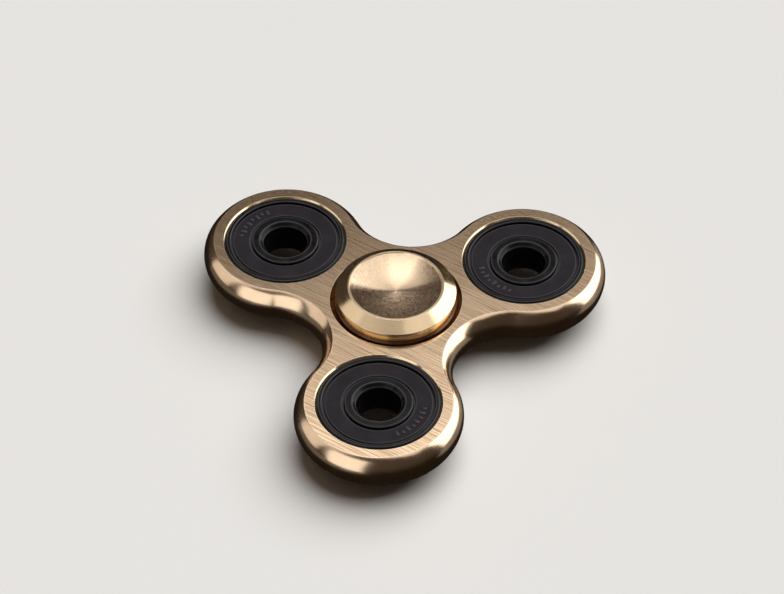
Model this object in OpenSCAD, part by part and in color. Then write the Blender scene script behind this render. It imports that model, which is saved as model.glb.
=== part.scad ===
// Three-lobed fidget spinner. A metal frame turns on a centre ball bearing, which two finger
// caps clamp between them with a screw thread. A rubber-sealed ball bearing is pressed into
// each lobe.
// The origin is on the spin axis, halfway through the frame. +Z is the spin axis, and -Y points
// at the first lobe.

/* [Frame] */
// Distance from the spin axis to the axis of each lobe
lobe_distance = 25.3; // [25:0.1:27]
// Thickness between the two flat faces, the same as the bearings' width
frame_thickness = 7; // [6.5:0.1:7.5]
// Radius of a lobe's flat face
lobe_face_radius = 13.15; // [12.6:0.05:14]
// Radius of the hollow between two lobes, at the flat face
hollow_face_radius = 12.4; // [11.5:0.1:13]
// How far the rounded edge stands out past the flat face
edge_bulge = 1.85; // [0.8:0.05:2.4]
// Width of the 45 degree chamfer on each lobe's bearing seat
lobe_seat_chamfer = 0.25; // [0.1:0.05:0.5]
// Width of the 45 degree chamfer on the centre bearing's seat
centre_seat_chamfer = 0.9; // [0.3:0.1:1.1]

/* [Bearings] */
// Outer diameter of a bearing
bearing_od = 22; // [22]
// Bore of a bearing
bearing_bore = 8; // [8]
// Width of a bearing
bearing_width = 7; // [7]
// Diameter of the circle that the balls' centres lie on
pitch_diameter = 15; // [14.9:0.05:15.1]
// Diameter of a ball
ball_diameter = 3.96; // [3.9:0.02:3.98]
// Number of balls in a bearing
ball_count = 7; // [6:1:7]
// Width of the chamfer at each end of a bearing's bore
bore_chamfer = 0.7; // [0.3:0.1:0.8]
// Depth of a rubber seal's face below the end of its bearing
seal_recess = 0.28; // [0.1:0.02:0.4]

/* [Finger caps] */
// Radius of a finger cap's rim
cap_radius = 10.85; // [10:0.05:11.2]
// Height of a finger cap above the frame's flat face
cap_height = 3.45; // [3:0.05:5]
// Height of the straight side of the rim above the frame's flat face
cap_rim_height = 1.9; // [1.2:0.1:2.4]
// Radius of the lip around the finger pad
cap_lip_radius = 8.7; // [8:0.1:9]
// Radius of the turned finger pad
pad_radius = 8.35; // [7:0.05:8.5]
// Depth of the small step between the lip and the finger pad
pad_recess = 0.12; // [0.05:0.01:0.3]
// Depth of the dished finger pad's middle below the lip
pad_depth = 1.4; // [0.5:0.05:1.6]
// Clear height between a finger cap and the frame's flat face
cap_gap = 0.25; // [0.2:0.05:0.5]
// Outer diameter of the thread that joins the caps
thread_diameter = 5; // [4:0.5:5]
// Distance from one thread ridge to the next
thread_pitch = 0.8; // [0.7:0.05:0.8]

/* [Hidden] */
$fn = 96;
lobe_count = 3;
first_lobe_angle = -90;
lobe_step = 360 / lobe_count;

// Frame outline. The hollows are circles tangent to the lobes, so their distance follows.
half_frame = frame_thickness / 2;
lobe_radius = lobe_face_radius + edge_bulge;
hollow_radius = hollow_face_radius - edge_bulge;
tangent_distance = lobe_radius + hollow_radius;
hollow_distance = lobe_distance / 2
    + sqrt(tangent_distance * tangent_distance - 0.75 * lobe_distance * lobe_distance);
// The edge is one arc through both flat faces' rims and the bulge at mid-height.
edge_arc_radius = (half_frame * half_frame + edge_bulge * edge_bulge) / (2 * edge_bulge);
// Angle at a lobe's axis from its outward direction to the end of its own rounded edge. It ends
// just short of the line to the hollow's axis, which leaves a step of about 0.006 mm.
edge_end_margin = 1;
lobe_half_sweep = atan2(
    hollow_distance * sin(lobe_step / 2),
    hollow_distance * cos(lobe_step / 2) - lobe_distance) - edge_end_margin;
cut_margin = 0.5;
cutter_height = frame_thickness + 2 * cut_margin;
blank_diameter = 2 * (lobe_distance + lobe_radius + cut_margin);

// Bearing rings
half_bearing = bearing_width / 2;
press_gap = 0.01;
bearing_radius = bearing_od / 2 - press_gap;
bore_radius = bearing_bore / 2;
pitch_radius = pitch_diameter / 2;
ball_radius = ball_diameter / 2;
ball_gap = 0.015;
groove_radius = ball_radius * 1.04;
outer_chamfer = 0.35;
edge_break = 0.15;
seal_seat_radius = 9.95;
seal_seat_z = 2.55;
outer_shoulder_radius = 9;
inner_shoulder_radius = 6.05;

// Cage: a ring with open pockets that snaps over the balls from one side
cage_inner_radius = 6.5;
cage_outer_radius = 8.35;
cage_bottom_z = -1.3;
cage_top_z = 2.35;
pocket_gap = 0.07;

// Rubber seal and steel shield. Both sit on the outer ring and stop short of the inner ring.
seal_gap = 0.08;
seal_face_z = half_bearing - seal_recess;
seal_back_z = 2.62;
seal_face_inner = 6.45;
seal_face_outer = 9.55;
seal_edge = 0.1;
seal_foot = 0.3;
seal_lip = 0.2;
seal_fit = 0.01;
shield_inner = 6.35;
shield_face_z = 3.25;
shield_sheet = 0.25;

// Raised tally marks moulded into each rubber seal
mark_count = 8;
mark_step = 8;
mark_sweep = 2.4;
mark_inner = 7.35;
mark_outer = 8.55;
mark_short = 0.45;
mark_height = 0.05;
mark_angles = [59, -161, 0];

// Finger caps
spigot_gap = 0.02;
spigot_end_z = 0.1;
boss_radius = 5.6;
cap_underside_z = half_frame + cap_gap;
cap_top_z = half_frame + cap_height;
rim_top_z = half_frame + cap_rim_height;
pad_step = 0.06;

// The dish is part of a ball, and leaves a narrow flat ring inside the step
pad_flat = 0.1;
dish_edge_radius = pad_radius - pad_step - pad_flat;
dish_sag = pad_depth - pad_recess;
dish_radius = (dish_edge_radius * dish_edge_radius + dish_sag * dish_sag) / (2 * dish_sag);
dish_centre_z = cap_top_z - pad_depth + dish_radius;

// Thread, drawn as separate ridges
thread_depth = 0.42;
thread_root = thread_diameter / 2 - thread_depth;
thread_crest = 0.1;
thread_gap = 0.03;
thread_turns = 4;
thread_start_z = 0.4;
thread_top_z = thread_start_z + thread_turns * thread_pitch;
stud_end_z = thread_top_z + 0.3;
stud_chamfer = 0.25;
hole_end_z = stud_end_z + 0.3;

champagne = "#d9b48a";
polished_gold = "#e3b969";
black_steel = "#26262a";
bright_steel = "#b9bcc2";
black_rubber = "#2f2b33";
white_nylon = "#e8e4d8";

lobe_nodes = [for (k = [1:lobe_count]) for (piece = [
    "outer_ring", "inner_ring", "cage", "balls", "seal_upper", "seal_lower"])
    str("lobe_", k, "_", piece)];

// ---- placing ----

module at_lobe(k) {
    rotate([0, 0, first_lobe_angle + (k - 1) * lobe_step])
        translate([lobe_distance, 0, 0])
            children();
}

module at_hollow(k) {
    rotate([0, 0, first_lobe_angle + (k - 0.5) * lobe_step])
        translate([hollow_distance, 0, 0])
            children();
}

module upside_down() {
    rotate([180, 0, 0])
        children();
}

// ---- frame ----

// Cuts a hollow between two lobes, and leaves the rounded edge on the frame
module hollow_cutter() {
    rotate_extrude()
        difference() {
            translate([0, -cutter_height / 2])
                square([hollow_radius + edge_arc_radius, cutter_height]);
            translate([hollow_radius + edge_arc_radius, 0])
                circle(edge_arc_radius);
        }
}

// Cuts everything outside a lobe, round to the lines where the hollows take over
module lobe_cutter() {
    arc_centre = lobe_radius - edge_arc_radius;
    rotate([0, 0, -lobe_half_sweep])
        rotate_extrude(angle = 2 * lobe_half_sweep)
            difference() {
                translate([arc_centre, -cutter_height / 2])
                    square([blank_diameter - arc_centre, cutter_height]);
                translate([arc_centre, 0])
                    circle(edge_arc_radius);
            }
}

// Round seat right through the frame, chamfered at both faces
module seat_cutter(chamfer) {
    seat_radius = bearing_od / 2;
    mouth = seat_radius + chamfer + cut_margin;
    rotate_extrude()
        polygon([
            [0, -half_frame - cut_margin],
            [mouth, -half_frame - cut_margin],
            [seat_radius, -half_frame + chamfer],
            [seat_radius, half_frame - chamfer],
            [mouth, half_frame + cut_margin],
            [0, half_frame + cut_margin]]);
}

// Round blank with everything outside the lobes and hollows cut away
module frame_outline() {
    difference() {
        translate([0, 0, -half_frame])
            cylinder(d = blank_diameter, h = frame_thickness);
        for (k = [1:lobe_count])
            at_hollow(k)
                hollow_cutter();
        for (k = [1:lobe_count])
            at_lobe(k)
                lobe_cutter();
    }
}

module frame_body() {
    color(champagne)
        difference() {
            frame_outline();
            seat_cutter(centre_seat_chamfer);
            for (k = [1:lobe_count])
                at_lobe(k)
                    seat_cutter(lobe_seat_chamfer);
        }
}

// ---- bearings ----

module outer_ring() {
    color(black_steel)
        rotate_extrude()
            difference() {
                polygon([
                    [seal_seat_radius + edge_break, -half_bearing],
                    [bearing_radius - outer_chamfer, -half_bearing],
                    [bearing_radius, -half_bearing + outer_chamfer],
                    [bearing_radius, half_bearing - outer_chamfer],
                    [bearing_radius - outer_chamfer, half_bearing],
                    [seal_seat_radius + edge_break, half_bearing],
                    [seal_seat_radius, half_bearing - edge_break],
                    [seal_seat_radius, seal_seat_z],
                    [outer_shoulder_radius, seal_seat_z],
                    [outer_shoulder_radius, -seal_seat_z],
                    [seal_seat_radius, -seal_seat_z],
                    [seal_seat_radius, -half_bearing + edge_break]]);
                translate([pitch_radius + ball_radius + ball_gap - groove_radius, 0])
                    circle(groove_radius);
            }
}

module inner_ring() {
    color(black_steel)
        rotate_extrude()
            difference() {
                polygon([
                    [bore_radius + bore_chamfer, -half_bearing],
                    [inner_shoulder_radius - edge_break, -half_bearing],
                    [inner_shoulder_radius, -half_bearing + edge_break],
                    [inner_shoulder_radius, half_bearing - edge_break],
                    [inner_shoulder_radius - edge_break, half_bearing],
                    [bore_radius + bore_chamfer, half_bearing],
                    [bore_radius, half_bearing - bore_chamfer],
                    [bore_radius, -half_bearing + bore_chamfer]]);
                translate([pitch_radius - ball_radius - ball_gap + groove_radius, 0])
                    circle(groove_radius);
            }
}

module at_each_ball() {
    for (n = [0:ball_count - 1])
        rotate([0, 0, n * 360 / ball_count])
            translate([pitch_radius, 0, 0])
                children();
}

module balls() {
    color(bright_steel)
        at_each_ball()
            sphere(ball_radius);
}

module cage() {
    color(white_nylon)
        difference() {
            rotate_extrude()
                translate([cage_inner_radius, cage_bottom_z])
                    square([cage_outer_radius - cage_inner_radius, cage_top_z - cage_bottom_z]);
            at_each_ball()
                sphere(ball_radius + pocket_gap);
        }
}

// Generic tally: short radial bars, every other one shorter
module mould_marks(middle_angle) {
    for (n = [0:mark_count - 1]) {
        bar_inner = mark_inner + (n % 2) * mark_short;
        bar_angle = middle_angle + (n - (mark_count - 1) / 2) * mark_step - mark_sweep / 2;
        rotate([0, 0, bar_angle])
            rotate_extrude(angle = mark_sweep)
                translate([bar_inner, seal_face_z - mark_height])
                    square([mark_outer - bar_inner, 2 * mark_height]);
    }
}

// Rubber seal of the upper side. Its foot rests on the outer ring's seat.
module seal(mark_angle) {
    foot_radius = seal_seat_radius - seal_fit;
    lip_radius = inner_shoulder_radius + seal_gap;
    color(black_rubber)
        union() {
            rotate_extrude()
                polygon([
                    [lip_radius, seal_back_z],
                    [lip_radius, seal_back_z + seal_lip],
                    [seal_face_inner, seal_back_z + seal_lip],
                    [seal_face_inner, seal_face_z - seal_edge],
                    [seal_face_inner + seal_edge, seal_face_z],
                    [seal_face_outer - seal_edge, seal_face_z],
                    [seal_face_outer, seal_face_z - seal_edge],
                    [seal_face_outer, seal_seat_z + seal_foot],
                    [foot_radius, seal_seat_z + seal_foot],
                    [foot_radius, seal_seat_z],
                    [outer_shoulder_radius, seal_seat_z],
                    [outer_shoulder_radius - seal_edge, seal_back_z]]);
            mould_marks(mark_angle);
        }
}

// Pressed steel shield of the upper side, with its rim turned down onto the seat
module shield() {
    rim_radius = seal_seat_radius - seal_fit;
    color(bright_steel)
        rotate_extrude()
            polygon([
                [shield_inner, shield_face_z - shield_sheet],
                [shield_inner, shield_face_z],
                [rim_radius, shield_face_z],
                [rim_radius, seal_seat_z],
                [rim_radius - shield_sheet, seal_seat_z],
                [rim_radius - shield_sheet, shield_face_z - shield_sheet]]);
}

// ---- finger caps ----

// Points up one side of the thread's ridges, moved out by a growth in radius
function ridges(growth) = [
    for (n = [0:thread_turns - 1])
        let (z = thread_start_z + n * thread_pitch, root = thread_root + growth)
        each [
            [root, z],
            [root + thread_depth, z + (thread_pitch - thread_crest) / 2],
            [root + thread_depth, z + (thread_pitch + thread_crest) / 2]]];

function backwards(points) = [for (n = [len(points) - 1:-1:0]) points[n]];

// Half cross-section of a cap before its dish is cut: from its spigot's end, round the rim,
// to the pad's middle
cap_outline = [
    [bore_radius - spigot_gap, spigot_end_z],
    [bore_radius - spigot_gap, half_bearing],
    [boss_radius, half_bearing],
    [boss_radius, cap_underside_z],
    [cap_radius - edge_break, cap_underside_z],
    [cap_radius, cap_underside_z + edge_break],
    [cap_radius, rim_top_z],
    [cap_lip_radius, cap_top_z],
    [pad_radius, cap_top_z],
    [pad_radius - pad_step, cap_top_z - pad_recess],
    [0, cap_top_z - pad_recess]];

// The upper cap is screwed on from above. Its threaded hole ends above the stud.
module finger_cap_upper() {
    hole_radius = thread_root + thread_gap;
    color(polished_gold)
        rotate_extrude()
            difference() {
                polygon(concat(
                    cap_outline,
                    [[0, hole_end_z], [hole_radius, hole_end_z], [hole_radius, thread_top_z]],
                    backwards(ridges(thread_gap)),
                    [[hole_radius, spigot_end_z]]));
                translate([0, dish_centre_z])
                    circle(dish_radius);
            }
}

// The lower cap carries the threaded stud
module finger_cap_lower() {
    color(polished_gold)
        rotate_extrude()
            difference() {
                polygon(concat(
                    [for (point = backwards(cap_outline)) [point[0], -point[1]]],
                    [[thread_root, -spigot_end_z]],
                    ridges(0),
                    [[thread_root, thread_top_z],
                     [thread_root, stud_end_z - stud_chamfer],
                     [thread_root - stud_chamfer, stud_end_z],
                     [0, stud_end_z]]));
                translate([0, -dish_centre_z])
                    circle(dish_radius);
            }
}

// ---- assembly ----

frame_body();
finger_cap_upper();
finger_cap_lower();
outer_ring();  // centre_outer_ring
inner_ring();  // centre_inner_ring
cage();  // centre_cage
balls();  // centre_balls
shield();  // centre_shield_upper
upside_down() shield();  // centre_shield_lower
for (k = [1:lobe_count]) {
    at_lobe(k) outer_ring();
    at_lobe(k) inner_ring();
    at_lobe(k) cage();
    at_lobe(k) balls();
    at_lobe(k) seal(mark_angles[k - 1]);
    at_lobe(k) upside_down() seal(mark_angles[k - 1]);
}
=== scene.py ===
import math

import bpy
from mathutils import Matrix, Vector
from mathutils.geometry import delaunay_2d_cdt


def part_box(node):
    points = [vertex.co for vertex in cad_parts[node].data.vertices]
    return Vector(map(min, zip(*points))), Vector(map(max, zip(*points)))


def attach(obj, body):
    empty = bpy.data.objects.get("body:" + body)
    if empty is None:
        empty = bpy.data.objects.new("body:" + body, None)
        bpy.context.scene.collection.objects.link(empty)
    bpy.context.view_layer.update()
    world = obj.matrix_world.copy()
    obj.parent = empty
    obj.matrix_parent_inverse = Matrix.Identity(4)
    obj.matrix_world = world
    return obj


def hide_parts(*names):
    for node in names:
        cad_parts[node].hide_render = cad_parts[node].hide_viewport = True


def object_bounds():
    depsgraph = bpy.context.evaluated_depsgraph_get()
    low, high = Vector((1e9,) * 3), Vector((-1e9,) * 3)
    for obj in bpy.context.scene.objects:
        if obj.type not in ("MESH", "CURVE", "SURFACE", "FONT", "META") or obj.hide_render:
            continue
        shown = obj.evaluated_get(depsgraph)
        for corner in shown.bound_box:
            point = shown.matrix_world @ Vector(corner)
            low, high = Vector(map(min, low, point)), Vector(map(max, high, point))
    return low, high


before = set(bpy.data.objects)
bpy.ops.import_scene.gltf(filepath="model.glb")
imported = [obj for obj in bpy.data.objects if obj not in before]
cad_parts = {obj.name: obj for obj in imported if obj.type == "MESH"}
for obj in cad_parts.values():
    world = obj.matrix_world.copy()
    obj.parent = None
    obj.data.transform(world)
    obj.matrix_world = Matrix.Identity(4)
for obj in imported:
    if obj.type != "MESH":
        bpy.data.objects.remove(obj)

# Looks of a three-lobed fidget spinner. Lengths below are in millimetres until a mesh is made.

cad_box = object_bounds()
MM = 0.001

# ---- sizes, read from the frame where it has them ----


def box_mm(node):
    """Lowest and highest corner of a CAD node, in millimetres."""
    low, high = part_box(node)
    return low / MM, high / MM


LOBES = (1, 2, 3)
LOBE_CENTRES = [sum(box_mm(f"lobe_{k}_outer_ring"), Vector()) / 2 for k in LOBES]
LOBE_DISTANCE = LOBE_CENTRES[0].length
LOBE_RADIUS = -box_mm("frame_body")[0].y - LOBE_DISTANCE
HALF_FRAME = box_mm("frame_body")[1].z
HALF_BEARING = box_mm("lobe_1_outer_ring")[1].z
BEARING_RADIUS = box_mm("centre_outer_ring")[1].x
CAP_RADIUS, _, CAP_TOP = box_mm("finger_cap_upper")[1]
SEAL_FACE = 3.22
HOLLOW_RADIUS = 10.55
EDGE_BULGE = 1.85
SEAT_RADIUS = 11.0
LOBE_SEAT_CHAMFER = 0.25
CENTRE_SEAT_CHAMFER = 0.9
BRUSH_ANGLE = math.radians(-27)

# ---- mesh building ----


def corner_reach(corners, closed):
    """How far each corner's rounding reaches along its edges, so that no two meet."""
    count = len(corners)
    spots = [Vector(corner[:2]) for corner in corners]
    reach = [0.0] * count
    for i in range(count) if closed else range(1, count - 1):
        way_in, way_out = spots[i] - spots[i - 1], spots[(i + 1) % count] - spots[i]
        turn = abs(math.atan2(way_in.cross(way_out), way_in.dot(way_out)))
        reach[i] = corners[i][2] * math.tan(turn / 2)
    for i in range(count if closed else count - 1):
        j = (i + 1) % count
        spare = 0.98 * (spots[j] - spots[i]).length - reach[i] - reach[j]
        longer = i if reach[i] > reach[j] else j
        reach[longer] += min(0.0, spare)
    return reach


def rounded(corners, closed, step=15, chord=0.6, hold=0.12):
    """Samples (r, z, normal r, normal z, lighter-edge mark, zone) along a section with its corners
    rounded.

    A corner is (r, z, fillet radius, zone), and its zone starts there. The solid lies on the left.
    """
    count = len(corners)
    reaches = corner_reach(corners, closed)
    samples = []
    for i, (r, z, fillet, zone) in enumerate(corners):
        here = Vector((r, z))
        before = Vector(corners[i - 1][:2]) if closed or i else None
        after = Vector(corners[(i + 1) % count][:2]) if closed or i < count - 1 else None
        if before is None or after is None:
            way = (after - here if before is None else here - before).normalized()
            samples.append((r, z, way.y, -way.x, 0.0, zone))
            continue
        way_in, way_out = (here - before).normalized(), (after - here).normalized()
        turn = math.atan2(way_in.cross(way_out), way_in.dot(way_out))
        reach = reaches[i]
        radius = reach / math.tan(turn / 2)
        arc_start = here - way_in * reach
        centre = arc_start + Vector((-way_in.y, way_in.x)) * radius
        if (here - before).length - reach - reaches[i - 1] > 2 * hold:
            samples.append((*(arc_start - way_in * hold), way_in.y, -way_in.x, 0.0, corners[i - 1][3]))
        parts = max(2, round(math.degrees(abs(turn)) / step), round(abs(turn * radius) / chord))
        for n in range(parts + 1):
            way = Matrix.Rotation(turn * n / parts, 2) @ way_in
            spot = centre + Vector((way.y, -way.x)) * radius
            side = corners[i - 1][3] if 2 * n < parts else zone
            # Small roundings get the full lighter-edge mark: partly scuffed edges, partly a painted
            # highlight.
            samples.append((*spot, way.y, -way.x, float(fillet < 0.5), side))
        if (after - here).length - reach - reaches[(i + 1) % count] > 2 * hold:
            samples.append((*(here + way_out * (reach + hold)), way_out.y, -way_out.x, 0.0, zone))
    return samples


def across_and_along(point):
    """A point's place across and along the brushing."""
    c, s = math.cos(BRUSH_ANGLE), math.sin(BRUSH_ANGLE)
    return (point.y * c - point.x * s, point.x * c + point.y * s)


class Shape:
    """One mesh being built: points with exact normals and a lighter-edge mark (partly scuffed edges,
    partly painted highlight), faces with a map and a zone.
    """

    def __init__(self):
        self.points, self.normals, self.wear_and_glint = [], [], []
        self.faces, self.maps, self.zones = [], [], []

    def point(self, position, normal, wear_and_glint=0.0):
        self.points.append(position)
        self.normals.append(normal)
        self.wear_and_glint.append(wear_and_glint)
        return len(self.points) - 1

    def face(self, corners, zone, maps=None):
        """Adds a face, turned to agree with its corners' normals. Its map is the brushing's by default."""
        maps = maps or [across_and_along(self.points[i]) for i in corners]
        a, b, c = (self.points[i] for i in corners[:3])
        outward = sum((self.normals[i] for i in corners), Vector())
        if (b - a).cross(c - b).dot(outward) < 0:
            corners, maps = corners[::-1], maps[::-1]
        self.faces.append(corners)
        self.maps.append(maps)
        self.zones.append(zone)

    def sweep(self, stations, section, closed, brushed=False):
        """Carries a section round closed stations (base, direction, travel), and returns its rings."""
        rings = []
        for r, z, normal_r, normal_z, wear_and_glint, _ in section:
            if abs(r) < 1e-6 and stations[0][0] == stations[1][0]:
                base = stations[0][0]
                pole = self.point(Vector((base.x, base.y, z)), Vector((0, 0, normal_z)), wear_and_glint)
                rings.append([pole] * len(stations))
                continue
            rings.append([
                self.point(
                    Vector((base.x + way.x * r, base.y + way.y * r, z)),
                    Vector((way.x * normal_r, way.y * normal_r, normal_z)), wear_and_glint)
                for base, way, _ in stations])
        lengths = [0.0]
        for one, two in zip(section, section[1:] + section[:1]):
            lengths.append(lengths[-1] + math.hypot(two[0] - one[0], two[1] - one[1]))
        travels = [travel for _, _, travel in stations]
        travels.append(2 * travels[-1] - travels[-2])
        for s in range(len(section) if closed else len(section) - 1):
            first, second = rings[s], rings[(s + 1) % len(rings)]
            for t in range(len(stations)):
                u = (t + 1) % len(stations)
                corners = [first[t], first[u], second[u], second[t]]
                maps = [
                    (lengths[s], travels[t]), (lengths[s], travels[t + 1]),
                    (lengths[s + 1], travels[t + 1]), (lengths[s + 1], travels[t])]
                kept = [n for n in range(4) if corners[n] != corners[n - 1]]
                flat = brushed and section[s][5] == 0
                maps = None if flat else [maps[n] for n in kept]
                self.face([corners[n] for n in kept], section[s][5], maps)
        return rings

    def build(self, name, materials, centre=Vector()):
        """Makes the object, with its origin at a centre."""
        mesh = bpy.data.meshes.new(name)
        mesh.from_pydata([(p - centre) * MM for p in self.points], [], self.faces)
        for material in materials:
            mesh.materials.append(material)
        mesh.polygons.foreach_set("material_index", self.zones)
        layer = mesh.uv_layers.new(name="surface")
        layer.data.foreach_set("uv", [x for maps in self.maps for spot in maps for x in spot])
        wear_and_glint = mesh.attributes.new("wear_and_glint", "FLOAT", "POINT")
        wear_and_glint.data.foreach_set("value", self.wear_and_glint)
        mesh.shade_smooth()
        mesh.normals_split_custom_set_from_vertices(self.normals)
        made = bpy.data.objects.new(name, mesh)
        made.location = centre * MM
        bpy.context.scene.collection.objects.link(made)
        return made


def circle(centre, count=192):
    """Stations round a vertical axis."""
    angles = [2 * math.pi * n / count for n in range(count)]
    return [(centre, Vector((math.cos(a), math.sin(a))), 10 * a) for a in angles]


def upside_down(corners):
    """The same closed section for the underside, still with the solid on its left."""
    zones = [corner[3] for corner in corners]
    turned = [(r, -z, fillet) for r, z, fillet, _ in reversed(corners)]
    return [(*corner, zones[len(zones) - 2 - n]) for n, corner in enumerate(turned)]


# ---- materials ----

GOLD_LIGHT = (0.90, 0.67, 0.46, 1)
GOLD_STREAK = (0.40, 0.27, 0.17, 1)
GOLD_BRIGHT = (0.95, 0.76, 0.56, 1)


class Surface:
    """A node material built round one Principled shader."""

    def __init__(self, name, **sockets):
        self.material = bpy.data.materials.new(name)
        self.material.use_nodes = True
        self.nodes = self.material.node_tree.nodes
        self.links = self.material.node_tree.links
        self.shader = self.nodes["Principled BSDF"]
        for socket, value in sockets.items():
            self.feed(self.shader.inputs[socket.replace("_", " ")], value)

    def feed(self, socket, value):
        if isinstance(value, bpy.types.NodeSocket):
            self.links.new(value, socket)
        else:
            socket.default_value = value

    def add(self, kind, sockets, **settings):
        """Adds a node. Sockets are given by name or number, as numbers or as other nodes' outputs."""
        node = self.nodes.new("ShaderNode" + kind)
        for setting, value in settings.items():
            setattr(node, setting, value)
        for socket, value in sockets.items():
            self.feed(node.inputs[socket], value)
        return node.outputs

    def math(self, operation, a, b=0.0):
        return self.add("Math", {0: a, 1: b}, operation=operation)[0]

    def noise(self, vector, scale, detail=2.0, rough=0.5):
        """Noise from 0 to 1, with scale in features per metre of the vector's space."""
        sockets = {"Vector": vector, "Scale": scale, "Detail": detail, "Roughness": rough}
        return self.add("TexNoise", sockets)["Fac"]

    def mix(self, a, b, share):
        """The sum of two values, with b's share given."""
        return self.math("ADD", self.math("MULTIPLY", a, 1 - share), self.math("MULTIPLY", b, share))

    def spread(self, value, low, high, start=0.3, end=0.7):
        """A value from start to end, carried to low to high."""
        sockets = {"Value": value, "From Min": start, "From Max": end, "To Min": low, "To Max": high}
        return self.add("MapRange", sockets)["Result"]

    def blend(self, factor, a, b):
        """A colour from a to b."""
        return self.add("Mix", {0: factor, 6: a, 7: b}, data_type="RGBA")[2]

    def place(self):
        return self.add("TexCoord", {})["Object"]

    def stretched(self, vector, scale):
        return self.add("VectorMath", {0: vector, 1: scale}, operation="MULTIPLY")[0]

    def wear_and_glint_to(self, colour, amount, scuffed_and_lit_colour):
        """Sets the colour, turning towards a lighter one on marked edges: partly scuffed edges, partly a
        painted highlight along them.
        """
        scuffed_and_lit = self.add("Attribute", {}, attribute_name="wear_and_glint")["Fac"]
        colour = self.blend(self.math("MULTIPLY", scuffed_and_lit, amount), colour, scuffed_and_lit_colour)
        self.feed(self.shader.inputs["Base Color"], colour)

    def grooves(self, fine, drift):
        """Coordinates for marks left by turning: quick along the section, slow round the axis."""
        length = self.add("SeparateXYZ", {0: self.add("TexCoord", {})["UV"]})["X"]
        flat = self.stretched(self.place(), (1, 1, 0))
        way = self.add("VectorMath", {0: flat}, operation="NORMALIZE")[0]
        axes = self.add("SeparateXYZ", {0: way})
        around = [self.math("MULTIPLY", axes[n], drift) for n in range(2)]
        quick = self.math("MULTIPLY", length, fine)
        return self.add("CombineXYZ", {0: quick, 1: around[0], 2: around[1]})[0]

    def bump(self, height, distance):
        normal = self.add("Bump", {"Height": height, "Distance": distance})["Normal"]
        self.feed(self.shader.inputs["Normal"], normal)

    def lay_highlight(self):
        """Lays the highlight's long axis along the map's first direction."""
        tangent = self.add("Tangent", {}, direction_type="UV_MAP", uv_map="surface")[0]
        self.feed(self.shader.inputs["Tangent"], tangent)


def brushed_gold():
    """Straight hairlines all along one direction, over a slow change of tone."""
    s = Surface("brushed_gold", Metallic=1.0, Anisotropic=0.7)
    turned = s.add("Mapping", {"Rotation": (0, 0, -BRUSH_ANGLE), "Vector": s.place()})[0]
    hair = s.noise(s.stretched(turned, (80, 6000, 0)), 1, 3)
    band = s.noise(s.stretched(turned, (50, 2300, 0)), 1, 2)
    tone = s.noise(s.place(), 140, 2)
    lines = s.mix(hair, band, 0.4)
    colour = s.blend(s.spread(lines, 0, 1, 0.38, 0.6), GOLD_STREAK, GOLD_LIGHT)
    toned = s.blend(s.spread(tone, 0, 0.2), colour, GOLD_BRIGHT)
    # Marked edges turn towards bright gold: partly scuffed edges, partly a painted highlight.
    s.wear_and_glint_to(toned, 0.6, GOLD_BRIGHT)
    s.feed(s.shader.inputs["Roughness"], s.spread(lines, 0.2, 0.13, 0.36, 0.62))
    s.bump(lines, 0.000009)
    s.lay_highlight()
    return s.material


def satin_gold():
    """The rounded edge: smooth, with a faint haze and small handling marks."""
    s = Surface("satin_gold", Metallic=1.0)
    haze = s.noise(s.place(), 260, 3)
    grain = s.noise(s.place(), 3800, 2)
    colour = s.blend(s.spread(haze, 0, 1), (0.80, 0.59, 0.41, 1), (0.90, 0.69, 0.49, 1))
    # Marked edges turn towards bright gold: partly scuffed edges, partly a painted highlight.
    s.wear_and_glint_to(colour, 0.5, GOLD_BRIGHT)
    marks = s.mix(haze, grain, 0.3)
    s.feed(s.shader.inputs["Roughness"], s.spread(marks, 0.15, 0.24))
    s.bump(grain, 0.0000015)
    return s.material


def turned_gold(name, fine, roughness, anisotropy, depth, dark, light, specks=0.0):
    """Lathe-turned gold, whose marks run round the axis."""
    s = Surface(name, Metallic=1.0, Anisotropic=anisotropy)
    rings = s.noise(s.grooves(fine, 0.6), 1, 3, 0.6)
    grain = s.noise(s.place(), 3400, 1)
    mixed = s.mix(rings, grain, specks)
    colour = s.blend(s.spread(mixed, 0, 1), dark, light)
    # Marked edges turn towards bright gold: partly scuffed edges, partly a painted highlight.
    s.wear_and_glint_to(colour, 0.6, GOLD_BRIGHT)
    s.feed(s.shader.inputs["Roughness"], s.spread(mixed, roughness * 0.72, roughness * 1.28))
    s.bump(mixed, depth)
    s.lay_highlight()
    return s.material


def black_steel():
    """Blackened steel: near-black, glossy, with faint grinding rings, and rounded edges painted light grey
    as a painted highlight.
    """
    s = Surface("black_steel", Metallic=0.0, Specular_IOR_Level=0.13)
    rings = s.noise(s.grooves(9, 0.5), 1, 2)
    smudge = s.noise(s.place(), 420, 3)
    colour = s.blend(s.spread(smudge, 0, 1), (0.004, 0.004, 0.0045, 1), (0.011, 0.010, 0.011, 1))
    # Light grey on the rounded edges stands in for the thin highlight lines along them: a painted
    # highlight.
    s.wear_and_glint_to(colour, 0.45, (0.10, 0.098, 0.10, 1))
    s.feed(s.shader.inputs["Roughness"], s.spread(s.math("ADD", rings, smudge), 0.14, 0.3, 0.7, 1.3))
    s.bump(rings, 0.000002)
    return s.material


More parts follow.
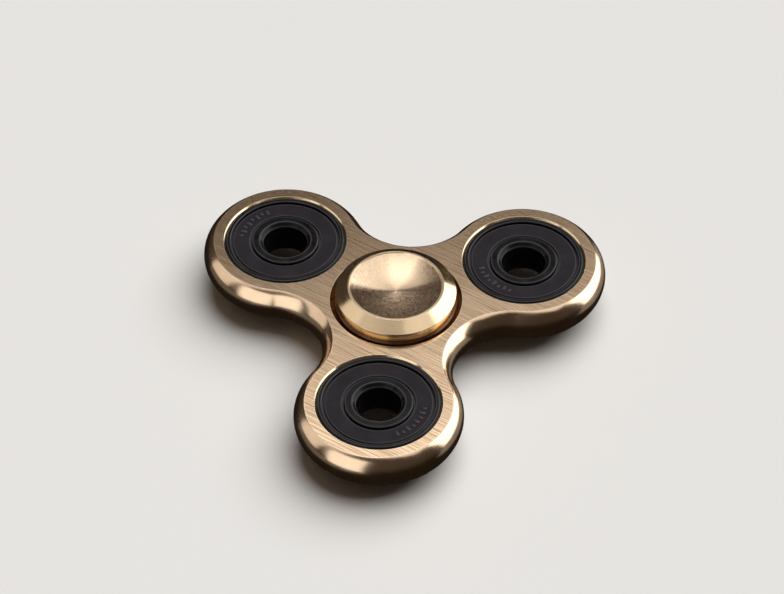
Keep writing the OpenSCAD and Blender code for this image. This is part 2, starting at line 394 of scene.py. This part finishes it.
def seal_rubber():
    """Moulded nitrile rubber: matt purple-black with a fine moulded grain and faint dust."""
    s = Surface("seal_rubber", Metallic=0.0, Specular_IOR_Level=0.15)
    grain = s.noise(s.place(), 5200, 3)
    cloud = s.noise(s.place(), 300, 3)
    colour = s.blend(s.spread(cloud, 0, 1), (0.011, 0.009, 0.0115, 1), (0.018, 0.015, 0.019, 1))
    # Rounded edges and the tally bars are painted lighter: a painted highlight along them.
    s.wear_and_glint_to(colour, 0.6, (0.07, 0.062, 0.07, 1))
    s.feed(s.shader.inputs["Roughness"], s.spread(grain, 0.42, 0.6))
    s.bump(grain, 0.000006)
    return s.material


def plain_metal(name, dark, light, roughness):
    """Metal of the pieces inside a bearing, with a light film of grease."""
    s = Surface(name, Metallic=1.0)
    film = s.noise(s.place(), 700, 3)
    fine = s.noise(s.place(), 4200, 2)
    s.feed(s.shader.inputs["Base Color"], s.blend(s.spread(film, 0, 1), dark, light))
    s.feed(s.shader.inputs["Roughness"], s.spread(film, roughness * 0.8, roughness * 1.3))
    s.bump(fine, 0.000002)
    return s.material


def cage_nylon():
    """Moulded nylon, slightly see-through."""
    s = Surface("cage_nylon", Metallic=0.0, Subsurface_Weight=0.15, Subsurface_Scale=0.001)
    cloud = s.noise(s.place(), 500, 3)
    grain = s.noise(s.place(), 4500, 2)
    colour = s.blend(s.spread(cloud, 0, 1), (0.72, 0.68, 0.57, 1), (0.82, 0.79, 0.70, 1))
    s.feed(s.shader.inputs["Base Color"], colour)
    s.feed(s.shader.inputs["Roughness"], s.spread(grain, 0.38, 0.55))
    s.bump(grain, 0.000006)
    return s.material


BRUSHED, SATIN = brushed_gold(), satin_gold()
SEAT = turned_gold(
    "seat_gold", fine=6, roughness=0.16, anisotropy=0.4, depth=0.000002,
    dark=(0.78, 0.61, 0.36, 1), light=(0.90, 0.72, 0.46, 1))
PAD = turned_gold(
    "pad_gold", fine=9, roughness=0.20, anisotropy=0.97, depth=0.0000006,
    dark=(0.75, 0.56, 0.39, 1), light=(0.93, 0.73, 0.53, 1), specks=0.8)
CAP = turned_gold(
    "cap_gold", fine=8, roughness=0.19, anisotropy=0.5, depth=0.000002,
    dark=(0.84, 0.66, 0.42, 1), light=(0.90, 0.70, 0.47, 1))
STEEL, RUBBER = black_steel(), seal_rubber()

# ---- frame ----


def frame_stations(lobe_parts=120, hollow_parts=60):
    """Stations round the frame's outermost outline, seen from above, anticlockwise."""
    reach = LOBE_RADIUS + HOLLOW_RADIUS
    hollow_distance = LOBE_DISTANCE / 2 + math.sqrt(reach ** 2 - 0.75 * LOBE_DISTANCE ** 2)
    sweep = math.atan2(
        hollow_distance * math.sin(math.pi / 3),
        hollow_distance * math.cos(math.pi / 3) - LOBE_DISTANCE)
    stations, travel = [], 0.0
    for lobe in LOBE_CENTRES:
        middle = math.atan2(lobe.y, lobe.x)
        hollow = Matrix.Rotation(math.pi / 3, 2) @ lobe.xy * (hollow_distance / LOBE_DISTANCE)
        for n in range(lobe_parts):
            angle = middle + sweep * (2 * n / lobe_parts - 1)
            way = Vector((math.cos(angle), math.sin(angle)))
            stations.append((lobe.xy + way * LOBE_RADIUS, way, travel))
            travel += 2 * sweep / lobe_parts * LOBE_RADIUS
        start, turn = middle + sweep, 2 * math.pi / 3 - 2 * sweep
        for n in range(hollow_parts):
            angle = start + turn * n / hollow_parts
            way = Vector((math.cos(angle), math.sin(angle)))
            stations.append((hollow - way * HOLLOW_RADIUS, way, travel))
            travel -= turn / hollow_parts * HOLLOW_RADIUS
    return stations


def edge_section(fillet=0.14, hold=0.35, parts=24):
    """The frame's rounded edge from one flat face to the other, with its creases eased."""
    arc = (HALF_FRAME ** 2 + EDGE_BULGE ** 2) / (2 * EDGE_BULGE)
    rise = math.asin((HALF_FRAME - fillet) / (arc - fillet))
    inner = math.sqrt((arc - fillet) ** 2 - (HALF_FRAME - fillet) ** 2)
    turns = [math.pi / 2 + (rise - math.pi / 2) * n / 4 for n in range(4)]
    # The eased creases get the full lighter-edge mark and the flat just inside them part of it: partly
    # scuffed edges, partly a painted highlight.
    ease = [
        (inner + fillet * math.cos(a) - arc, HALF_FRAME - fillet + fillet * math.sin(a),
         math.cos(a), math.sin(a), 1.0, int(n > 1))
        for n, a in enumerate(turns)]
    flat = [
        (inner - arc - back, HALF_FRAME, 0.0, 1.0, wear_and_glint, 0)
        for back, wear_and_glint in ((hold, 0.0), (0.1, 0.4))]
    turns = [rise * (1 - 2 * n / parts) for n in range(parts + 1)]
    bulge = [
        (arc * math.cos(a) - arc, arc * math.sin(a), math.cos(a), math.sin(a),
         float(n in (0, parts)), 1)
        for n, a in enumerate(turns)]
    mirrored = [(r, -z, nr, -nz, wear_and_glint, zone) for r, z, nr, nz, wear_and_glint, zone in reversed(flat + ease)]
    zones = [sample[5] for sample in mirrored[1:]] + [0]
    mirrored = [(*sample[:5], zone) for sample, zone in zip(mirrored, zones)]
    return flat + ease + bulge + mirrored


def seat_section(chamfer):
    """A bearing seat from the upper flat face to the lower one."""
    mouth = SEAT_RADIUS + chamfer
    ease = min(0.08, chamfer * 0.3)
    return rounded([
        (mouth + 0.35, HALF_FRAME, 0, 0),
        (mouth, HALF_FRAME, ease, 2),
        (SEAT_RADIUS, HALF_FRAME - chamfer, ease, 2),
        (SEAT_RADIUS, -HALF_FRAME + chamfer, ease, 2),
        (mouth, -HALF_FRAME, ease, 0),
        (mouth + 0.35, -HALF_FRAME, 0, 0)], closed=False)


def inside(spot, outline):
    """True if a point is inside a closed outline."""
    crossings = 0
    for a, b in zip(outline, outline[1:] + outline[:1]):
        if (a.y > spot.y) != (b.y > spot.y):
            crossings += spot.x < a.x + (spot.y - a.y) * (b.x - a.x) / (b.y - a.y)
    return crossings % 2 == 1


def fill_face(shape, loops, upward, spacing=1.3):
    """Fills one flat face between its outer loop and the holes, with even triangles."""
    spots = [shape.points[i].xy for loop in loops for i in loop]
    owners = [i for loop in loops for i in loop]
    edges, start = [], 0
    for loop in loops:
        edges += [(start + n, start + (n + 1) % len(loop)) for n in range(len(loop))]
        start += len(loop)
    holes = [(sum((shape.points[i].xy for i in loop), Vector((0, 0))) / len(loop),
              (shape.points[loop[0]].xy - shape.points[loop[len(loop) // 2]].xy).length / 2)
             for loop in loops[1:]]
    outer = [shape.points[i].xy for i in loops[0]]
    reach = int(LOBE_DISTANCE + LOBE_RADIUS)
    z, normal = shape.points[owners[0]].z, Vector((0, 0, upward))
    rows = [n * spacing for n in range(-int(reach / spacing), int(reach / spacing) + 1)]
    for x in rows:
        for y in rows:
            spot = Vector((x, y))
            if min((spot - c).length - r for c, r in holes) < 0.6:
                continue
            if min((spot - p).length for p in outer) < 0.6 or not inside(spot, outer):
                continue
            spots.append(spot)
            owners.append(shape.point(Vector((x, y, z)), normal))
    found = delaunay_2d_cdt(spots, edges, [], 2, 1e-5)
    for triangle in found[2]:
        middle = sum((found[0][i] for i in triangle), Vector((0, 0))) / 3
        if min((middle - c).length - r for c, r in holes) > 0:
            shape.face([owners[found[3][i][0]] for i in triangle], 0)


def make_frame():
    shape = Shape()
    edge = shape.sweep(frame_stations(), edge_section(), False, brushed=True)
    centres = [(Vector((0, 0)), CENTRE_SEAT_CHAMFER)]
    centres += [(lobe.xy, LOBE_SEAT_CHAMFER) for lobe in LOBE_CENTRES]
    seats = [shape.sweep(circle(c, 160), seat_section(chamfer), False, brushed=True)
             for c, chamfer in centres]
    fill_face(shape, [edge[0]] + [seat[0] for seat in seats], 1)
    fill_face(shape, [edge[-1]] + [seat[-1] for seat in seats], -1)
    return shape.build("spinner_frame", [BRUSHED, SATIN, SEAT])


# ---- bearings ----


def outer_ring_section():
    race = 10.15
    return [
        (10.1, -HALF_BEARING, 0.08, 0), (BEARING_RADIUS - 0.35, -HALF_BEARING, 0.12, 0),
        (BEARING_RADIUS, -HALF_BEARING + 0.35, 0.12, 0),
        (BEARING_RADIUS, HALF_BEARING - 0.35, 0.12, 0),
        (BEARING_RADIUS - 0.35, HALF_BEARING, 0.12, 0), (10.1, HALF_BEARING, 0.08, 0),
        (9.95, HALF_BEARING - 0.15, 0.08, 0), (9.95, 2.55, 0.04, 0), (9.0, 2.55, 0.06, 0),
        (9.0, 1.339, 0.04, 0), (race, 0, 1.9, 0), (9.0, -1.339, 0.04, 0),
        (9.0, -2.55, 0.06, 0), (9.95, -2.55, 0.04, 0), (9.95, -HALF_BEARING + 0.15, 0.08, 0)]


def inner_ring_section():
    race = 4.763
    return [
        (4.7, -HALF_BEARING, 0.25, 0), (5.9, -HALF_BEARING, 0.08, 0),
        (6.05, -HALF_BEARING + 0.15, 0.08, 0), (6.05, -1.396, 0.04, 0), (race, 0, 1.9, 0),
        (6.05, 1.396, 0.04, 0), (6.05, HALF_BEARING - 0.15, 0.08, 0),
        (5.9, HALF_BEARING, 0.08, 0), (4.7, HALF_BEARING, 0.25, 0),
        (4.0, HALF_BEARING - 0.7, 0.3, 0), (4.0, -HALF_BEARING + 0.7, 0.3, 0)]


def seal_section():
    return [
        (6.13, 2.62, 0.04, 0), (8.9, 2.62, 0.05, 0), (9.0, 2.55, 0.03, 0), (9.94, 2.55, 0.06, 0),
        (9.94, 2.85, 0.08, 0), (9.55, 2.85, 0.06, 0), (9.55, SEAL_FACE - 0.1, 0.06, 0),
        (9.45, SEAL_FACE, 0.08, 0), (6.55, SEAL_FACE, 0.08, 0), (6.45, SEAL_FACE - 0.1, 0.06, 0),
        (6.45, 2.82, 0.05, 0), (6.13, 2.82, 0.05, 0)]


def add_marks(shape, centre, middle, side):
    """Generic tally bars moulded on a seal, each a low rounded bar."""
    for n in range(8):
        angle = middle + math.radians((n - 3.5) * 8)
        way, turn = Vector((math.cos(angle), math.sin(angle))), math.radians(1.8)
        inner, outer = 7.35 + n % 2 * 0.45, 8.55
        outline = []
        for r, sign in ((inner, -1), (outer, -1), (outer, 1), (inner, 1)):
            lean = Matrix.Rotation(sign * turn, 2) @ way
            outline.append(centre.xy + lean * r)
        add_bar(shape, outline, side)


def add_bar(shape, outline, side, height=0.1, ease=0.05):
    """A low bar with eased upper edges, sunk a little into the seal's face."""
    middle = sum(outline, Vector((0, 0))) / len(outline)
    levels = ((0.0, -0.05, 0.0), (0.0, height - ease, 0.0), (ease, height, 0.7))
    rings = []
    for inset, rise, lean in levels:
        ring = []
        for spot in outline:
            out = (spot - middle).normalized()
            place = spot - out * inset
            normal = Vector((out.x * (1 - lean), out.y * (1 - lean), side * lean)).normalized()
            # Each bar point gets the full lighter-edge mark, so the bar is painted lighter than the seal:
            # a painted highlight.
            ring.append(shape.point(Vector((*place, side * (SEAL_FACE + rise))), normal, 1.0))
        rings.append(ring)
    for low, high in zip(rings, rings[1:]):
        for n in range(4):
            m = (n + 1) % 4
            shape.face([low[n], low[m], high[m], high[n]], 0)
    shape.face(rings[-1], 0)
    base = [shape.point(shape.points[i].copy(), Vector((0, 0, -side))) for i in rings[0]]
    shape.face(base, 0)


def turned_piece(name, corners, centre, materials, closed=True):
    shape = Shape()
    shape.sweep(circle(centre.xy), rounded(corners, closed), closed)
    return shape.build(name, materials, centre)


def make_bearing(k, centre, mark_angle):
    outer = turned_piece(f"outer_ring_{k}", outer_ring_section(), centre, [STEEL])
    dress(outer, "frame", "black_steel", f"lobe_{k}_outer_ring")
    inner = turned_piece(f"inner_ring_{k}", inner_ring_section(), centre, [STEEL])
    dress(inner, f"lobe_{k}_inner", "black_steel", f"lobe_{k}_inner_ring")
    for label, side in (("upper", 1), ("lower", -1)):
        corners = seal_section() if side > 0 else upside_down(seal_section())
        shape = Shape()
        shape.sweep(circle(centre.xy), rounded(corners, True), True)
        add_marks(shape, centre, side * mark_angle, side)
        seal = shape.build(f"seal_{label}_{k}", [RUBBER], centre)
        dress(seal, "frame", "rubber", f"lobe_{k}_seal_{label}")


# ---- finger caps ----


CAP_UNDERSIDE = 3.75
RIM_TOP = 5.4
LIP_RADIUS = 8.7
PAD_RADIUS = 8.35
PAD_STEP = 0.12
PAD_DEPTH = 1.4
DISH_RADIUS = 8.19
SPIGOT_RADIUS = 3.98
SHOULDER_RADIUS = 5.6
THREAD_ROOT = 2.08
THREAD_GAP = 0.03
THREAD_END = 3.6


def ridges(growth, start=0.4, turns=4, pitch=0.8):
    """Corners up one side of the thread's ridges."""
    root = THREAD_ROOT + growth
    return [
        (root + out, start + n * pitch + rise, 0.03, 1)
        for n in range(turns) for out, rise in ((0, 0), (0.42, 0.35), (0.42, 0.45))]


def cap_section():
    """Half a cap's section from its spigot, round the rim, to the middle of the dished pad."""
    sag = PAD_DEPTH - PAD_STEP
    ball = (DISH_RADIUS ** 2 + sag ** 2) / (2 * sag)
    bend = ball * math.tan(math.asin(DISH_RADIUS / ball) / 2)
    return [
        (SPIGOT_RADIUS, 0.1, 0.05, 1), (SPIGOT_RADIUS, HALF_BEARING, 0.05, 1),
        (SHOULDER_RADIUS, HALF_BEARING, 0.05, 1), (SHOULDER_RADIUS, CAP_UNDERSIDE, 0.05, 1),
        (CAP_RADIUS - 0.1, CAP_UNDERSIDE, 0.08, 1), (CAP_RADIUS, CAP_UNDERSIDE + 0.1, 0.08, 1),
        (CAP_RADIUS, RIM_TOP, 0.08, 1), (LIP_RADIUS, CAP_TOP, 0.06, 1),
        (PAD_RADIUS, CAP_TOP, 0.05, 1), (PAD_RADIUS - 0.06, CAP_TOP - PAD_STEP, 0.04, 1),
        (DISH_RADIUS, CAP_TOP - PAD_STEP, 0.04, 0), (bend, CAP_TOP - PAD_DEPTH, ball, 0),
        (0, CAP_TOP - PAD_DEPTH, 0, 0)]


def make_caps():
    """The upper cap has the threaded hole, and the lower cap has the stud."""
    bore, hole_end, stud_end = THREAD_ROOT + THREAD_GAP, THREAD_END + 0.6, THREAD_END + 0.3
    hollow = [(0, hole_end, 0, 1), (bore, hole_end, 0.05, 1), (bore, THREAD_END, 0.03, 1)]
    upper = hollow + ridges(THREAD_GAP)[::-1] + [(bore, 0.1, 0.05, 1)] + cap_section()
    stud = [(THREAD_ROOT, -0.1, 0.05, 1)] + ridges(0.0) + [
        (THREAD_ROOT, THREAD_END, 0.05, 1), (THREAD_ROOT - 0.25, stud_end, 0.05, 1),
        (0, stud_end, 0, 1)]
    lower = [(r, -z, fillet, zone) for r, z, fillet, zone in reversed(cap_section())] + stud
    lower = [(*corner[:3], min(n, 1)) for n, corner in enumerate(lower)]
    for label, side, corners in (("top", "upper", upper), ("base", "lower", lower)):
        cap = turned_piece(f"finger_cap_{label}", corners, Vector(), [PAD, CAP], closed=False)
        dress(cap, "hub", "turned_gold", f"finger_cap_{side}")


# ---- putting it together ----


def dress(piece, body, slot, *nodes):
    """Ties a piece to its body, in place of the CAD nodes."""
    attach(piece, body)
    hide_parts(*nodes)


def finish_kept_nodes():
    """Better materials on the CAD nodes inside the bearings."""
    chrome = plain_metal("ball_chrome", (0.55, 0.55, 0.57, 1), (0.72, 0.72, 0.74, 1), 0.1)
    shield = plain_metal("shield_steel", (0.42, 0.42, 0.44, 1), (0.58, 0.58, 0.60, 1), 0.28)
    # The centre rings under the cap are tinted dark red-brown to copy the shadow under the cap: painted
    # shade.
    shade_tinted_ring_metal = plain_metal("shade_tinted_steel", (0.09, 0.045, 0.024, 1), (0.15, 0.08, 0.042, 1), 0.3)
    kinds = {"balls": chrome, "shield": shield, "ring": shade_tinted_ring_metal, "cage": cage_nylon()}
    for name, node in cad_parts.items():
        for kind, material in kinds.items():
            if kind in name and not node.hide_render:
                node.data.materials.clear()
                node.data.materials.append(material)


dress(make_frame(), "frame", "brushed_gold", "frame_body")
MARK_ANGLES = [math.radians(a) for a in (-31, -131, 150)]
for number, lobe_centre, mark in zip(LOBES, LOBE_CENTRES, MARK_ANGLES):
    make_bearing(number, lobe_centre, mark)
make_caps()
finish_kept_nodes()

# ---- studio ----

FLOOR_TONE = (0.78, 0.77, 0.75)
FLOOR_LIGHT = 0.95
BACKDROP = (0.79, 0.775, 0.745)


def make_floor():
    """A wide plain floor under the lower cap."""
    s = Surface("floor", Metallic=0.0, Roughness=0.9, Specular_IOR_Level=0.0)
    tone = s.noise(s.place(), 9, 2)
    lighter = tuple(c * 1.02 for c in FLOOR_TONE)
    s.feed(s.shader.inputs["Base Color"], s.blend(tone, (*FLOOR_TONE, 1), (*lighter, 1)))
    mesh = bpy.data.meshes.new("floor")
    far, z = 60, cad_box[0].z - 0.00002
    corners = [(-far, -far, z), (far, -far, z), (far, far, z), (-far, far, z)]
    mesh.from_pydata(corners, [], [(0, 1, 2, 3)])
    mesh.materials.append(s.material)
    floor = bpy.data.objects.new("floor", mesh)
    bpy.context.scene.collection.objects.link(floor)
    floor.visible_glossy = False


def from_compass(azimuth, elevation):
    """Unit vector with azimuth measured from +Y towards +X, both in degrees."""
    a, e = math.radians(azimuth), math.radians(elevation)
    return Vector((math.sin(a) * math.cos(e), math.cos(a) * math.cos(e), math.sin(e)))


def add_panel(name, location, facing, size, colour, radiance, roll=0.0):
    """A soft rectangular panel of even radiance, seen only in reflections."""
    light = bpy.data.lights.new(name, "AREA")
    light.shape, (light.size, light.size_y) = "RECTANGLE", size
    light.color = colour
    light.energy = radiance * math.pi * light.size * light.size_y
    holder = bpy.data.objects.new(name, light)
    holder.rotation_mode = "QUATERNION"
    turn = Matrix.Rotation(math.radians(roll), 3, "Z").to_quaternion()
    holder.rotation_quaternion = facing.to_track_quat("-Z", "Y") @ turn
    holder.location = location
    holder.visible_camera = False
    holder.visible_diffuse = False
    bpy.context.scene.collection.objects.link(holder)


def side_panel(name, azimuths, elevations, colour, radiance, distance=0.8):
    """A panel that fills a patch of the surroundings, given in degrees."""
    azimuth, elevation = sum(azimuths) / 2, sum(elevations) / 2
    way = from_compass(azimuth, elevation)
    half_width = math.radians(azimuths[1] - azimuths[0]) / 2 * math.cos(math.radians(elevation))
    half_height = math.radians(elevations[1] - elevations[0]) / 2
    size = (2 * distance * math.tan(half_width), 2 * distance * math.tan(half_height))
    add_panel(name, way * distance, -way, size, colour, radiance)


def ceiling_panel(name, across, along, colour, radiance, roll=0.0, height=0.6):
    """A panel overhead, given by its extent in X and Y as shares of its height."""
    size = [(side[1] - side[0]) * height for side in (across, along)]
    location = Vector((sum(across) / 2, sum(along) / 2, 1)) * height
    add_panel(name, location, Vector((0, 0, -1)), size, colour, radiance, roll)


def make_lights():
    side_panel("right_panel", (31, 96), (-6, 48), (1, 0.99, 0.97), 2.2)
    side_panel("left_panel", (-170, -124), (-14, 43), (1, 0.98, 0.94), 1.2)
    side_panel("far_left_panel", (-112, -74), (-4, 46), (1, 0.95, 0.88), 0.8)
    side_panel("right_glow", (22, 98), (-32, -6), (1, 0.95, 0.9), 0.22)
    side_panel("left_glow", (-172, -72), (-30, -10), (1, 0.95, 0.9), 0.12)
    ceiling_panel("front_ceiling", (-1.0, 0.25), (-0.62, 0.2), (1, 0.96, 0.92), 0.6)
    ceiling_panel("right_ceiling", (0.25, 1.0), (-0.62, 0.2), (1, 0.96, 0.92), 0.9)
    ceiling_panel("back_ceiling", (-0.37, 0.6), (0.2, 0.985), (1, 0.98, 0.94), 1.12, 17)
    ceiling_panel("key", (-0.26, 0.04), (0.25, 0.75), (1, 0.98, 0.94), 1.0, height=0.55)
    fill = bpy.data.lights.new("fill", "SUN")
    fill.angle, fill.energy = math.radians(70), math.pi * FLOOR_LIGHT / math.cos(math.radians(28))
    lamp = bpy.data.objects.new("fill", fill)
    lamp.rotation_euler = (math.radians(-20), math.radians(20), 0)
    lamp.visible_glossy = False
    bpy.context.scene.collection.objects.link(lamp)


def make_world():
    """Dim warm surroundings in reflections, and the floor's own tone behind the object."""
    world = bpy.data.worlds.new("studio")
    world.use_nodes = True
    nodes, links = world.node_tree.nodes, world.node_tree.links
    seen = nodes.new("ShaderNodeBackground")
    seen.inputs["Color"].default_value = (*BACKDROP, 1)
    room = nodes["Background"]
    height = nodes.new("ShaderNodeSeparateXYZ")
    ramp = nodes.new("ShaderNodeMapRange")
    shade = nodes.new("ShaderNodeMix")
    shade.data_type = "RGBA"
    shade.inputs[6].default_value = (0.014, 0.010, 0.007, 1)
    shade.inputs[7].default_value = (0.055, 0.042, 0.032, 1)
    ramp.inputs["From Min"].default_value, ramp.inputs["From Max"].default_value = -0.3, 0.1
    links.new(nodes.new("ShaderNodeTexCoord").outputs["Generated"], height.inputs[0])
    links.new(height.outputs["Z"], ramp.inputs["Value"])
    links.new(ramp.outputs["Result"], shade.inputs[0])
    links.new(shade.outputs[2], room.inputs["Color"])
    mix, path = nodes.new("ShaderNodeMixShader"), nodes.new("ShaderNodeLightPath")
    links.new(path.outputs["Is Camera Ray"], mix.inputs[0])
    links.new(room.outputs[0], mix.inputs[1])
    links.new(seen.outputs[0], mix.inputs[2])
    links.new(mix.outputs[0], nodes["World Output"].inputs["Surface"])
    bpy.context.scene.world = world


CAMERA_AIM = Vector((-0.757, 0.342, HALF_FRAME)) * MM
CAMERA_DISTANCE = 607.4 * MM
CAMERA_AZIMUTH = -6.87
CAMERA_ELEVATION = 45.65


def make_camera():
    """The camera looks down on the front lobe, from a little to its right."""
    data = bpy.data.cameras.new("camera")
    data.sensor_width, data.lens = 36, 154.98
    way = from_compass(CAMERA_AZIMUTH, -CAMERA_ELEVATION)
    camera = bpy.data.objects.new("camera", data)
    camera.rotation_mode = "QUATERNION"
    camera.rotation_quaternion = way.to_track_quat("-Z", "Y")
    camera.location = CAMERA_AIM - way * CAMERA_DISTANCE
    bpy.context.scene.collection.objects.link(camera)
    bpy.context.scene.camera = camera


make_floor()
make_lights()
make_world()
make_camera()
bpy.context.scene.view_settings.view_transform = "Standard"
